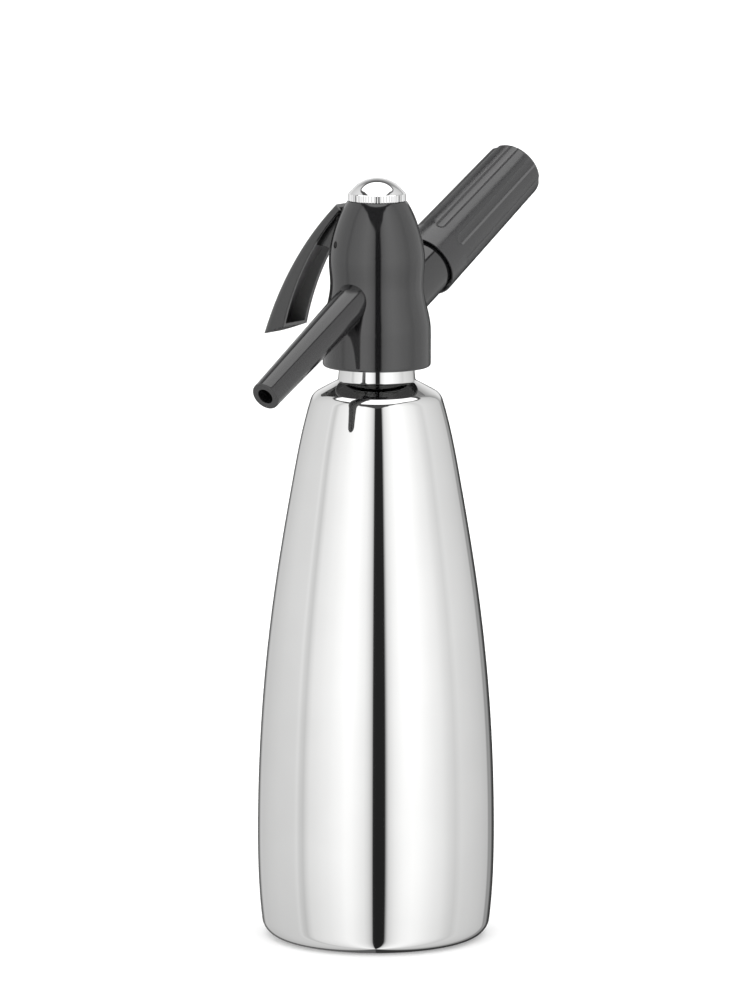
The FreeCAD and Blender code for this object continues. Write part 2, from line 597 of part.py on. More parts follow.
# ---------------------------------------------------------------- cap
def top_cap():
    thread_low = CAP_Z - CAP_THREAD
    thread = crests(CAP_SKIRT_R - CAP_THREAD_DEPTH, CAP_SKIRT_R, thread_low, CAP_Z - THREAD_END,
                    CAP_THREAD_PITCH)
    dome_top = CAP_RING_TOP_Z + CAP_DOME_HEIGHT
    dome = dome_arc(CAP_DOME_R, CAP_RING_TOP_Z, CAP_DOME_HEIGHT)
    points = [(CAP_HOLLOW_R, thread_low)] + thread
    points += [(CAP_SKIRT_R - CAP_THREAD_DEPTH, CAP_Z), (CAP_R - EDGE, CAP_Z), (CAP_R, CAP_Z + EDGE),
               (CAP_R, CAP_RING_TOP_Z - EDGE), (CAP_R - EDGE, CAP_RING_TOP_Z), (CAP_DOME_R, CAP_RING_TOP_Z)]
    edges = []
    for a, b in zip(points, points[1:]):
        edges.append(Part.makeLine(Vector(a[0], 0, a[1]), Vector(b[0], 0, b[1])))
    edges += [dome, Part.makeLine(Vector(0, 0, dome_top), Vector(0, 0, CAP_HOLLOW_TOP_Z)),
              Part.makeLine(Vector(0, 0, CAP_HOLLOW_TOP_Z), Vector(CAP_HOLLOW_R, 0, CAP_HOLLOW_TOP_Z)),
              Part.makeLine(Vector(CAP_HOLLOW_R, 0, CAP_HOLLOW_TOP_Z), Vector(CAP_HOLLOW_R, 0, thread_low))]
    cap = turned_edges(edges)
    half = math.pi * CAP_R / CAP_KNURLS * CAP_KNURL_SHARE
    root = Vector(CAP_R - CAP_KNURL_DEPTH, 0, CAP_Z - OVER)
    outer_r = CAP_R + CAP_KNURL_DEPTH
    notch = Part.makePolygon([root, Vector(outer_r, half, root.z), Vector(outer_r, -half, root.z), root])
    cutter = Part.Face(notch).extrude(Vector(0, 0, CAP_RING_HEIGHT + 2 * OVER))
    return cap.cut(around(cutter, CAP_KNURLS))


def cap_gasket():
    low = HEAD_TOP_Z - CAP_GASKET_THICK + GAP / 2
    return rubber_ring(CAP_BORE_R + CAP_GASKET_WIDTH - RUN, CAP_BORE_R + RUN, low, CAP_Z)


# ---------------------------------------------------------------- tubes and rings in the neck
def measuring_tube():
    bottom = WEB_Z - MEASURE_LENGTH
    inner = MEASURE_R - MEASURE_WALL
    sleeve = turned([(RISER_R + RUN, WEB_Z), (inner, WEB_Z), (inner, bottom), (MEASURE_R, bottom),
                     (MEASURE_R, WEB_Z), (MEASURE_FLANGE_R, WEB_Z), (MEASURE_FLANGE_R, GASKET_Z),
                     (RISER_R + RUN, GASKET_Z)])
    hole = rod(GAS_HOLE_R, WEB_Z - OVER, GASKET_Z + OVER)
    hole.translate(Vector(GAS_HOLE_CIRCLE_R, 0, 0))
    return sleeve.cut(around(hole, GAS_HOLES))


def riser_tube():
    inner = RISER_R - RISER_WALL
    top = SEAT_Z - GAP
    pipe = turned([(inner, RISER_BOTTOM_Z), (RISER_R, RISER_BOTTOM_Z), (RISER_R, GASKET_Z),
                   (RISER_COLLAR_R, GASKET_Z), (RISER_COLLAR_R, GASKET_Z + RISER_COLLAR_THICK),
                   (RISER_R, GASKET_Z + RISER_COLLAR_THICK), (RISER_R, top), (inner, top)])
    notch = Part.makeBox(4 * RISER_R, inner, RISER_NOTCH, Vector(-2 * RISER_R, -inner / 2, RISER_BOTTOM_Z))
    cross = notch.copy()
    cross.rotate(ZERO, UP, 90)
    return pipe.cut([notch, cross])


def head_gasket():
    return rubber_ring(NECK_R - RUN, GAS_ROOM_R + ROOM, GASKET_Z, GASKET_Z + GASKET_THICK)


def riser_oring():
    return rubber_ring(RISER_RING_R - GAP, RISER_R, GAS_ROOM_TOP_Z + GAP, RISER_RING_TOP_Z - GAP)


# ---------------------------------------------------------------- valve
def valve_seat():
    shoulder = SEAT_Z + SEAT_THICK
    return turned([(SEAT_BORE_R, SEAT_Z), (OUTLET_ROOM_R, SEAT_Z), (OUTLET_ROOM_R, shoulder),
                   (SEAT_BORE_R + 2 * SEAT_LIP, shoulder), (SEAT_BORE_R + SEAT_LIP / 2, SEAT_TOP_Z),
                   (SEAT_BORE_R, SEAT_TOP_Z)])


def valve_seal():
    return rubber_ring(SEAL_R, SCREW_R, SEAL_Z, FLANGE_Z)


def seal_screw():
    low = SEAL_Z - SCREW_HEAD
    end = FLANGE_Z + SCREW_REACH
    screw = turned([(0, low), (SCREW_HEAD_R, low, EDGE), (SCREW_HEAD_R, SEAL_Z), (SCREW_R, SEAL_Z),
                    (SCREW_R, end), (0, end)])
    slot = Part.makeBox(4 * SCREW_HEAD_R, SCREW_SLOT, SCREW_HEAD,
                        Vector(-2 * SCREW_HEAD_R, -SCREW_SLOT / 2, low - SCREW_HEAD / 2))
    return screw.cut(slot)


def oring_places():
    space = (PISTON_LENGTH - 2 * ORING_THICK) / 3
    return [PISTON_Z + space, PISTON_Z + 2 * space + ORING_THICK]


def valve_spindle():
    root = PISTON_R - ORING_DEPTH
    corners = [(0, FLANGE_Z + SCREW_REACH), (SCREW_R, FLANGE_Z + SCREW_REACH), (SCREW_R, FLANGE_Z),
               (FLANGE_R, FLANGE_Z), (FLANGE_R, FLANGE_Z + FLANGE_THICK),
               (STEM_R, FLANGE_Z + FLANGE_THICK, EDGE), (STEM_R, PISTON_Z), (PISTON_R, PISTON_Z)]
    for low in oring_places():
        corners += [(PISTON_R, low), (root, low), (root, low + ORING_THICK), (PISTON_R, low + ORING_THICK)]
    corners += [(PISTON_R, PISTON_Z + PISTON_LENGTH), (SPINDLE_R, PISTON_Z + PISTON_LENGTH),
                (SPINDLE_R, SPINDLE_TOP_Z - EDGE), (SPINDLE_R - EDGE, SPINDLE_TOP_Z), (0, SPINDLE_TOP_Z)]
    return turned(corners)


def spindle_orings():
    rings = [rubber_ring(PISTON_R, PISTON_R - ORING_DEPTH, low, low + ORING_THICK) for low in oring_places()]
    return Part.makeCompound(rings)


def spindle_gland():
    step = OUTLET_ROOM_TOP_Z + GLAND_RING_THICK
    bore = PISTON_R + RUN
    gland = turned([(bore, OUTLET_ROOM_TOP_Z), (GLAND_STEP_R, OUTLET_ROOM_TOP_Z), (GLAND_STEP_R, step),
                    (GLAND_R, step), (GLAND_R, GLAND_TOP_Z), (bore, GLAND_TOP_Z)])
    hole = rod(SPANNER_HOLE_R, GLAND_TOP_Z - SPANNER_HOLE, GLAND_TOP_Z + OVER)
    hole.translate(Vector(0, (bore + GLAND_R) / 2, 0))
    return gland.cut(around(hole, 2))


def gland_oring():
    return rubber_ring(GLAND_R, GLAND_STEP_R, OUTLET_ROOM_TOP_Z, OUTLET_ROOM_TOP_Z + GLAND_RING_THICK)


def lift_nut():
    corners = [Vector(NUT_R * math.cos(math.radians(a)), NUT_R * math.sin(math.radians(a)), NUT_Z)
               for a in range(0, 361, 60)]
    hexagon = Part.Face(Part.makePolygon(corners)).extrude(Vector(0, 0, NUT_THICK))
    trim = turned([(0, NUT_Z), (NUT_R - EDGE, NUT_Z), (NUT_R, NUT_Z + EDGE), (NUT_R, WASHER_Z - EDGE),
                   (NUT_R - EDGE, WASHER_Z), (0, WASHER_Z)])
    return hexagon.common(trim).cut(rod(SPINDLE_R, NUT_Z - OVER, WASHER_Z + OVER))


def spring_washer():
    return tube(WASHER_R, SPINDLE_R, WASHER_Z, SPRING_Z)


def valve_spring():
    low = SPRING_Z + SPRING_WIRE_R
    height = CAP_HOLLOW_TOP_Z - GAP - SPRING_WIRE_R - low
    path = Part.makeHelix(height / SPRING_TURNS, height, SPRING_R)
    path.translate(Vector(0, 0, low))
    wire = Part.Wire(Part.makeCircle(SPRING_WIRE_R, Vector(SPRING_R, 0, low), Vector(0, 1, 0)))
    return Part.Wire(path).makePipeShell([wire], True, True)


# ---------------------------------------------------------------- charger
def charger():
    tip = CHARGER_START
    neck_end = tip + CHARGER_NECK
    body_start = neck_end + CHARGER_SHOULDER
    inner_r = CHARGER_R - CHARGER_WALL
    inner_neck_r = CHARGER_NECK_R - CHARGER_WALL
    shell = turned([(0, tip), (CHARGER_NECK_R, tip, CHARGER_TIP_ROUND),
                    (CHARGER_NECK_R, neck_end, CHARGER_NECK_ROUND),
                    (CHARGER_R, body_start, CHARGER_SHOULDER_ROUND),
                    (CHARGER_R, CHARGER_END, CHARGER_R), (0, CHARGER_END)])
    set_in = CHARGER_WALL / 2
    room = turned([(0, tip + CHARGER_TIP_WALL), (inner_neck_r, tip + CHARGER_TIP_WALL),
                   (inner_neck_r, neck_end + set_in, CHARGER_NECK_ROUND + set_in),
                   (inner_r, body_start + set_in, CHARGER_SHOULDER_ROUND - set_in),
                   (inner_r, CHARGER_END - CHARGER_WALL, inner_r), (0, CHARGER_END - CHARGER_WALL)])
    hole = rod(PIERCER_R + PIERCED_ROOM, tip - OVER, tip + CHARGER_TIP_WALL + OVER)
    return placed(shell.cut([room, hole]), PORT_PLACE)


def piercing_body():
    pin_seat = PIERCER_START + FILTER_LENGTH + PIERCER_FLANGE
    solid = turned([(FILTER_R, PIERCER_START), (PORT_BORE_R, PIERCER_START), (PORT_BORE_R, PIERCER_END),
                    (CHARGER_SEAL_R, PIERCER_END), (CHARGER_SEAL_R, CHARGER_SEAL_START),
                    (PIERCER_R, CHARGER_SEAL_START), (PIERCER_R, pin_seat), (FILTER_R, pin_seat)])
    return placed(solid, PORT_PLACE)


def piercing_pin():
    base = PIERCER_START + FILTER_LENGTH
    tip = CHARGER_START + PIERCER_REACH
    solid = turned([(PIERCER_HOLE_R, base), (FILTER_R, base), (FILTER_R, base + PIERCER_FLANGE),
                    (PIERCER_R, base + PIERCER_FLANGE), (PIERCER_R, tip - PIERCER_POINT),
                    (PIERCER_HOLE_R + GAP, tip), (PIERCER_HOLE_R, tip)])
    return placed(solid, PORT_PLACE)


def charger_seal():
    ring = rubber_ring(CHARGER_SEAL_R, PIERCER_R + PIERCED_ROOM, CHARGER_SEAL_START,
                       CHARGER_SEAL_START + CHARGER_SEAL_THICK)
    return placed(ring, PORT_PLACE)


def gas_filter():
    return placed(rod(FILTER_R, PIERCER_START, PIERCER_START + FILTER_LENGTH), PORT_PLACE)


def check_valve():
    low = PIERCER_START - CHECK_THICK
    rim_r = CHECK_R - CHECK_RIM
    disc = turned([(0, low + CHECK_DISH), (rim_r, low + CHECK_DISH, EDGE), (rim_r, low, EDGE),
                   (CHECK_R, low, EDGE), (CHECK_R, PIERCER_START), (0, PIERCER_START)])
    return placed(disc, PORT_PLACE)


def charger_holder():
    thread_r = PORT_THREAD_R + RUN
    thread_end = HOLDER_SKIRT_END + HOLDER_THREAD
    room_end = CHARGER_END + ROOM
    shell = turned([(0, HOLDER_START), (HOLDER_MOUTH_R, HOLDER_START, EDGE),
                    (HOLDER_END_R, HOLDER_END, HOLDER_ROUND), (0, HOLDER_END)])
    below = HOLDER_START - OVER
    room = turned([(0, below), (HOLDER_SKIRT_R, below), (HOLDER_SKIRT_R, HOLDER_SKIRT_END - EDGE),
                   (thread_r, HOLDER_SKIRT_END), (thread_r, thread_end),
                   (HOLDER_BORE_R, thread_end + thread_r - HOLDER_BORE_R),
                   (HOLDER_BORE_R, room_end, HOLDER_BORE_R), (0, room_end)])
    taper = (HOLDER_MOUTH_R - HOLDER_END_R) / (HOLDER_END - HOLDER_START)
    start_r = HOLDER_MOUTH_R - taper * (HOLDER_FLUTE_START - HOLDER_START)
    lift = HOLDER_FLUTE_R - HOLDER_FLUTE_DEPTH
    start = Vector(start_r + lift, 0, HOLDER_FLUTE_START)
    end = Vector(HOLDER_END_R + lift, 0, HOLDER_END)
    length = start.distanceToPoint(end) + OVER
    flute = turned([(0, -HOLDER_FLUTE_R), (HOLDER_FLUTE_R, -HOLDER_FLUTE_R, HOLDER_FLUTE_R),
                    (HOLDER_FLUTE_R, length), (0, length)])
    flute = placed(flute, Placement(start, Rotation(UP, end - start)))
    cutters = [room] + around(flute, HOLDER_FLUTES, HOLDER_FLUTE_PHASE)
    return placed(shell.cut(cutters), PORT_PLACE)


# ---------------------------------------------------------------- lever
def lever_line(depths):
    """Top, middle and tip of the line that lies at these depths under the lever's skin."""
    points = [Vector(-LEVER_TOP_U, 0, LEVER_TOP_Z), Vector(-LEVER_MID_U, 0, LEVER_MID_Z),
              Vector(-LEVER_TIP_U, 0, LEVER_TIP_Z)]
    centre, radius = lever_circle()
    return [p + (centre - p).normalize() * depth for p, depth in zip(points, depths)]


def lever_circle():
    """Centre and radius of the lever's outer line."""
    curve = Part.Circle(Vector(-LEVER_TOP_U, 0, LEVER_TOP_Z), Vector(-LEVER_MID_U, 0, LEVER_MID_Z),
                        Vector(-LEVER_TIP_U, 0, LEVER_TIP_Z))
    return curve.Center, curve.Radius


def wedge(trim):
    """Room between the lever's two flat sides, set in by trim."""
    top = LEVER_TOP_WIDTH / 2 - trim
    low = LEVER_TIP_WIDTH / 2 - trim
    reach = 3 * LEVER_TIP_U
    shape = Part.makePolygon([Vector(-reach, -low, LEVER_TIP_Z - 1), Vector(-reach, low, LEVER_TIP_Z - 1),
                              Vector(-reach, top, LEVER_TOP_Z + 1), Vector(-reach, -top, LEVER_TOP_Z + 1),
                              Vector(-reach, -low, LEVER_TIP_Z - 1)])
    return Part.Face(shape).extrude(Vector(2 * reach, 0, 0))


def slab(edges):
    """An XZ outline made as wide as the lever and wider."""
    face = Part.Face(Part.Wire(edges))
    face.translate(Vector(0, -LEVER_TIP_WIDTH, 0))
    return face.extrude(Vector(0, 2 * LEVER_TIP_WIDTH, 0))


def skin_edge(body, centre, radius, side):
    """The long outer edge of the lever's skin on one side (+1 or -1 in Y)."""
    for edge in body.Edges:
        middle = edge.valueAt((edge.FirstParameter + edge.LastParameter) / 2)
        flat = Vector(middle.x, 0, middle.z)
        if middle.y * side > LEVER_TOP_WIDTH / 4 and abs(flat.distanceToPoint(centre) - radius) < 0.05:
            return edge


def lever_channel():
    skin = lever_line([0, 0, 0])
    rim = lever_line([LEVER_TOP_DEPTH, LEVER_MID_DEPTH, 0])
    heel = skin[2] + Vector(LEVER_HEEL_IN, 0, LEVER_HEEL_RISE)
    body = slab([Part.Arc(skin[0], skin[1], skin[2]).toShape(), Part.makeLine(skin[2], heel),
                 Part.Arc(heel, rim[1], rim[0]).toShape(), Part.makeLine(rim[0], skin[0])]).common(wedge(0))
    centre, radius = lever_circle()
    for side in (1, -1):
        long_edge = skin_edge(body, centre, radius, side)
        from_top = long_edge.firstVertex(True).Z > long_edge.lastVertex(True).Z
        radii = (LEVER_TOP_ROUND, LEVER_TIP_ROUND) if from_top else (LEVER_TIP_ROUND, LEVER_TOP_ROUND)
        body = body.makeFillet(radii[0], radii[1], [long_edge])
    inner = lever_line([LEVER_WALL] * 3)
    beyond = lever_line([2 * LEVER_HEEL_IN] * 3)
    room = slab([Part.Arc(inner[0], inner[1], inner[2]).toShape(), Part.makeLine(inner[2], beyond[2]),
                 Part.makeLine(beyond[2], beyond[0]), Part.makeLine(beyond[0], inner[0])])
    along = (heel - skin[2]).normalize()
    up = Vector(-along.z, 0, along.x)
    low = skin[2] + up * LEVER_WEB
    far = along * 4 * LEVER_HEEL_IN
    end = slab([Part.makeLine(low - far, low + far), Part.makeLine(low + far, low + far - up * LEVER_TIP_U),
                Part.makeLine(low + far - up * LEVER_TIP_U, low - far - up * LEVER_TIP_U),
                Part.makeLine(low - far - up * LEVER_TIP_U, low - far)])
    return body.cut(room.common(wedge(LEVER_WALL)).cut(end))


def lever_arm():
    nose_low = NOSE_Z - NOSE_R
    under = PIN_Z - BOSS_R
    tine_end = NUT_R + NUT_ROOM
    corners = [(0, nose_low), (-PIN_U, under, ARM_HOLLOW_ROUND), (-HEAD_BULGE_R, under, ARM_CHIN_ROUND),
               (-LEVER_MID_U, under + ARM_RISE), (-LEVER_MID_U, LEVER_TOP_Z),
               (-HEAD_UPPER_R - SIDE, WINDOW_TOP_Z + ARM_RISE),
               (-HEAD_UPPER_R + SIDE, WINDOW_TOP_Z - 2 * SIDE),
               (-SPRING_ROOM_R - BOSS_R, WINDOW_TOP_Z - BOSS_R, ARM_ROUND),
               (-PIN_U, PIN_Z + BOSS_R, ARM_ROUND), (-tine_end - TINE_STEP, NUT_Z),
               (-tine_end, NUT_Z - TINE_STEP, TINE_ROUND), (0, NUT_Z - GAP)]
    arm = extruded(corners, ARM_HALF_WIDTH)
    nose = Part.makeCylinder(NOSE_R, 2 * ARM_HALF_WIDTH, Vector(0, -ARM_HALF_WIDTH, NOSE_Z), Vector(0, 1, 0))
    centre, radius = lever_circle()
    within = Part.makeCylinder(radius - LEVER_WALL / 2, 4 * ARM_HALF_WIDTH,
                               centre - Vector(0, 2 * ARM_HALF_WIDTH, 0), Vector(0, 1, 0))
    half = SPINDLE_R + TINE_ROOM
    back = SPINDLE_R + FORK_BACK_ROOM
    fork_gap = Part.makeBox(2 * back, 2 * half, 4 * NOSE_R, Vector(-back, -half, nose_low - NOSE_R))
    return arm.fuse(nose).common(within).cut(fork_gap)


def lever():
    hole = Part.makeCylinder(PIN_R + RUN, 4 * ARM_HALF_WIDTH, Vector(-PIN_U, -2 * ARM_HALF_WIDTH, PIN_Z),
                             Vector(0, 1, 0))
    return lever_channel().fuse(lever_arm()).cut(hole).removeSplitter()


PIECES = [bottle, neck_ring, measuring_tube, riser_tube, head_gasket, riser_oring,
          head_body, lever_pin, nozzle, nozzle_oring, valve_seat, spindle_gland, gland_oring,
          piercing_body, piercing_pin, charger_seal, gas_filter, check_valve,
          valve_spindle, spindle_orings, valve_seal, seal_screw, lift_nut, spring_washer,
          valve_spring, lever, top_cap, cap_gasket, charger, charger_holder]

for make in PIECES:
    save(make.__name__, make())
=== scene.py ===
import json
import math

import bpy
from mathutils import Matrix, Vector


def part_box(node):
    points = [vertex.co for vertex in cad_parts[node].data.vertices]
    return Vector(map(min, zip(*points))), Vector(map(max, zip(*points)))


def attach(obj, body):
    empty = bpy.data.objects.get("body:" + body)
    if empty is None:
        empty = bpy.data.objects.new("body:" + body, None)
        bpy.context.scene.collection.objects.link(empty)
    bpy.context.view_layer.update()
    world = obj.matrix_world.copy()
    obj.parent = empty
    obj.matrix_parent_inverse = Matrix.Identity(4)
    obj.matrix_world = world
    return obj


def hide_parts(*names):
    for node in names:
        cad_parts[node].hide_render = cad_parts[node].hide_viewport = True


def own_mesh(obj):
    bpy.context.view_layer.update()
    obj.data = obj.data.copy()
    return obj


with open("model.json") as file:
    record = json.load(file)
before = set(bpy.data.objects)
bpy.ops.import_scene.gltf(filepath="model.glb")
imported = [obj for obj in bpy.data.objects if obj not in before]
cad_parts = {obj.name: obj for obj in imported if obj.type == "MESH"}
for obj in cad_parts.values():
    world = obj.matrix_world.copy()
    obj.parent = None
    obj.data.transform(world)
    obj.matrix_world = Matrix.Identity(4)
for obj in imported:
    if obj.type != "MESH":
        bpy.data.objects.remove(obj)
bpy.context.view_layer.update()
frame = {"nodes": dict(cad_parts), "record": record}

# Soda siphon.  Lengths are in metres, and angles in the tables below in degrees.
MM = 0.001
NODES = frame["nodes"]

# ---------------------------------------------------------------- camera
CAMERA_AZIMUTH = 34.69       # from the nozzle's side towards +X
CAMERA_ELEVATION = 8.714
CAMERA_REACH = 2.863         # level distance from the siphon's axis
AIM_HEIGHT = 0.1814
AIM_SHIFT = -0.00061         # to the camera's right
CAMERA_ROLL = 0.097
LENS = 253.7
SENSOR = 36.0
CLIP_NEAR = 0.1
CLIP_FAR = 100.0

AZIMUTH = math.radians(CAMERA_AZIMUTH)
TO_CAMERA = Vector((math.sin(AZIMUTH), -math.cos(AZIMUTH), 0))
TO_RIGHT = Vector((math.cos(AZIMUTH), math.sin(AZIMUTH), 0))
UP = Vector((0, 0, 1))


def make_camera():
    data = bpy.data.cameras.new("camera")
    data.lens = LENS
    data.sensor_width = SENSOR
    data.clip_start = CLIP_NEAR
    data.clip_end = CLIP_FAR
    camera = bpy.data.objects.new("camera", data)
    bpy.context.scene.collection.objects.link(camera)
    aim = TO_RIGHT * AIM_SHIFT + UP * AIM_HEIGHT
    rise = UP * math.tan(math.radians(CAMERA_ELEVATION)) * CAMERA_REACH
    place = aim + TO_CAMERA * CAMERA_REACH + rise
    turn = (aim - place).to_track_quat("-Z", "Y").to_matrix().to_4x4()
    turn = turn @ Matrix.Rotation(math.radians(CAMERA_ROLL), 4, "Z")
    turn.translation = place
    camera.matrix_world = turn
    bpy.context.scene.camera = camera


# ---------------------------------------------------------------- node trees
class Nodes:
    """Builds one node tree.  A value is a number or another node's socket."""

    def __init__(self, tree):
        self.tree = tree
        tree.nodes.clear()

    def add(self, kind, **settings):
        node = self.tree.nodes.new(kind)
        for key, value in settings.items():
            setattr(node, key, value)
        return node

    def link(self, a, b):
        self.tree.links.new(a, b)

    def put(self, value, socket):
        if isinstance(value, bpy.types.NodeSocket):
            self.link(value, socket)
        else:
            socket.default_value = value

    def math(self, operation, *values):
        node = self.add("ShaderNodeMath", operation=operation)
        for value, socket in zip(values, node.inputs):
            self.put(value, socket)
        return node.outputs[0]

    def dot(self, vector, axis):
        node = self.add("ShaderNodeVectorMath", operation="DOT_PRODUCT")
        self.link(vector, node.inputs[0])
        node.inputs[1].default_value = axis
        return node.outputs["Value"]

    def range(self, value, low, high, out_low=0.0, out_high=1.0, kind="SMOOTHSTEP"):
        node = self.add("ShaderNodeMapRange", interpolation_type=kind)
        for name, given in (("Value", value), ("From Min", low), ("From Max", high),
                            ("To Min", out_low), ("To Max", out_high)):
            self.put(given, node.inputs[name])
        return node.outputs["Result"]

    def curve(self, value, stops, reach, top):
        """Straight lines through (place, level) stops, up to place reach and level top."""
        node = self.add("ShaderNodeValToRGB")
        ramp = node.color_ramp
        ramp.elements.remove(ramp.elements[1])
        for i, (place, level) in enumerate(stops):
            element = ramp.elements[0] if i == 0 else ramp.elements.new(place / reach)
            element.position = place / reach
            element.color = (level / top, level / top, level / top, 1)
        self.link(self.math("DIVIDE", value, reach), node.inputs[0])
        return self.math("MULTIPLY", node.outputs[0], top)

    def mix(self, factor, a, b):
        """a where factor is 0, b where it is 1."""
        low = self.math("MULTIPLY", a, self.math("SUBTRACT", 1.0, factor))
        return self.math("MULTIPLY_ADD", b, factor, low)

    def noise(self, vector, scale, detail=2.0, roughness=0.5):
        node = self.add("ShaderNodeTexNoise")
        node.inputs["Scale"].default_value = scale
        node.inputs["Detail"].default_value = detail
        node.inputs["Roughness"].default_value = roughness
        self.link(vector, node.inputs["Vector"])
        return node.outputs["Fac"]

    def stretched(self, vector, factors):
        node = self.add("ShaderNodeMapping")
        node.inputs["Scale"].default_value = factors
        self.link(vector, node.inputs["Vector"])
        return node.outputs["Vector"]


# ---------------------------------------------------------------- studio
# The room's light as (azimuth, level) on each side of the camera, seen from the siphon:
# a dark slit where the camera stands, a bright panel, a paler wall, and darkness behind.
LEFT_WALL = [(0, 0.022), (2.8, 0.03), (4, 0.62), (6, 0.87), (8, 1.0), (12, 1.18), (18, 1.30),
             (24, 1.40), (30, 1.42), (36, 1.34), (42, 1.28), (48, 1.21), (54, 1.165), (60, 1.11),
             (68, 1.05), (72, 0.94), (76, 0.78), (80, 0.84), (84, 0.98), (88, 0.915), (112, 0.88),
             (128, 0.82), (144, 0.74), (152, 0.73), (156, 0.60), (160, 0.27), (163, 0.16),
             (180, 0.16)]
RIGHT_WALL = [(0, 0.022), (8.4, 0.024), (10.3, 0.60), (12, 0.93), (14, 1.05), (18, 1.20),
              (24, 1.34), (28, 1.40), (36, 1.45), (44, 1.40), (52, 1.30), (60, 1.20), (68, 1.12),
              (76, 0.98), (84, 0.87), (92, 0.95), (100, 0.91), (108, 0.88), (116, 0.84),
              (124, 0.80), (132, 0.745), (140, 0.70), (144, 0.38), (152, 0.40), (156, 0.17),
              (160, 0.06), (180, 0.05)]
# Upper edge of the panels and walls, and lower edge of the light overhead: (azimuth, elevation).
LEFT_TOP = [(0, 29), (11, 33), (24, 37), (40, 45), (67, 50), (90, 49), (125, 45), (180, 45)]
RIGHT_TOP = [(0, 29), (8, 31), (18, 37), (27, 46), (47, 53), (68, 54), (90, 52), (125, 45),
             (180, 45)]
OVERHEAD = [(0, 58), (90, 57), (120, 48), (180, 54)]
# Level of the room's back by elevation, from the table upwards.
BACK = [(0, 0.20), (4, 0.85), (12, 0.95), (22, 0.75), (30, 0.5), (38, 0.3), (45, 0.22),
        (90, 0.22)]
BACK_SIDE = (140.0, 160.0)   # azimuths between which the walls pass into the back
BACK_RISE = (0.0, 6.0)       # and elevations
WALL_LIMIT = 2.0             # highest level that the tables may hold
HALF_TURN = 180
ZENITH = 90
TOP_BLUR = 1.5               # half width of the upper edge, in degrees
OVERHEAD_BLUR = (1.0, 2.0)   # how far the overhead light's edge fades down and up
ABOVE = 0.085                # level of the dark ceiling round the overhead light
OVERHEAD_LEVEL = 1.8
BACKDROP_LEVEL = 1.0         # level behind the floor, where the camera looks straight at it
TABLE_SHARE = 0.86           # level of the table's light against the wall above it
TABLE_DEPTH = -22.0          # elevation at which the table's light has come down to that share


def make_world():
    world = bpy.data.worlds.new("studio")
    bpy.context.scene.world = world
    world.use_nodes = True
    n = Nodes(world.node_tree)
    direction = n.add("ShaderNodeTexCoord").outputs["Generated"]
    side = n.dot(direction, TO_RIGHT)
    azimuth = n.math("DEGREES", n.math("ARCTAN2", side, n.dot(direction, TO_CAMERA)))
    level = n.math("DEGREES", n.math("ARCSINE", n.dot(direction, UP)))
    off = n.math("ABSOLUTE", azimuth)
    right = n.math("GREATER_THAN", azimuth, 0.0)
    wall = n.mix(right, n.curve(off, LEFT_WALL, HALF_TURN, WALL_LIMIT),
                 n.curve(off, RIGHT_WALL, HALF_TURN, WALL_LIMIT))
    high = n.math("MAXIMUM", level, 0.0)
    behind = n.math("MULTIPLY", n.range(off, *BACK_SIDE), n.range(level, *BACK_RISE))
    wall = n.mix(behind, wall, n.curve(high, BACK, ZENITH, WALL_LIMIT))
    top = n.mix(right, n.curve(off, LEFT_TOP, HALF_TURN, ZENITH),
                n.curve(off, RIGHT_TOP, HALF_TURN, ZENITH))
    low_edge = n.math("SUBTRACT", top, TOP_BLUR)
    high_edge = n.math("ADD", top, TOP_BLUR)
    light = n.mix(n.range(level, low_edge, high_edge), wall, ABOVE)
    over = n.curve(off, OVERHEAD, HALF_TURN, ZENITH)
    low_edge = n.math("SUBTRACT", over, OVERHEAD_BLUR[0])
    high_edge = n.math("ADD", over, OVERHEAD_BLUR[1])
    light = n.mix(n.range(level, low_edge, high_edge), light, OVERHEAD_LEVEL)
    table = n.range(level, TABLE_DEPTH, 0.0, TABLE_SHARE, 1.0, "LINEAR")
    light = n.math("MULTIPLY", light, table)
    light = n.mix(n.add("ShaderNodeLightPath").outputs["Is Camera Ray"], light, BACKDROP_LEVEL)
    background = n.add("ShaderNodeBackground")
    n.link(light, background.inputs["Color"])
    n.link(background.outputs[0], n.add("ShaderNodeOutputWorld").inputs["Surface"])


FILL_ENERGY = 1.5
FILL_ANGLE = 150.0           # a very wide, soft source
FILL_LEAN = 0.35             # how far it comes from the left


def make_fill_light():
    data = bpy.data.lights.new("fill", "SUN")
    data.energy = FILL_ENERGY
    data.angle = math.radians(FILL_ANGLE)
    light = bpy.data.objects.new("fill", data)
    bpy.context.scene.collection.objects.link(light)
    light.rotation_euler = (TO_RIGHT * FILL_LEAN - UP).to_track_quat("-Z", "Y").to_euler()
    light.visible_glossy = False


FLOOR_HALF = 30.0
FLOOR_DROP = 0.0001          # below the siphon's foot
FLOOR_TONE = 0.93


def make_floor():
    mesh = bpy.data.meshes.new("floor")
    corners = [(x * FLOOR_HALF, y * FLOOR_HALF, -FLOOR_DROP)
               for x, y in ((-1, -1), (1, -1), (1, 1), (-1, 1))]
    mesh.from_pydata(corners, [], [(0, 1, 2, 3)])
    floor = bpy.data.objects.new("floor", mesh)
    bpy.context.scene.collection.objects.link(floor)
    made = bpy.data.materials.new("pale_floor")
    made.use_nodes = True
    n = Nodes(made.node_tree)
    diffuse = n.add("ShaderNodeBsdfDiffuse")
    diffuse.inputs["Color"].default_value = (FLOOR_TONE, FLOOR_TONE, FLOOR_TONE, 1)
    n.link(diffuse.outputs[0], n.add("ShaderNodeOutputMaterial").inputs["Surface"])
    mesh.materials.append(made)
    floor.visible_glossy = False


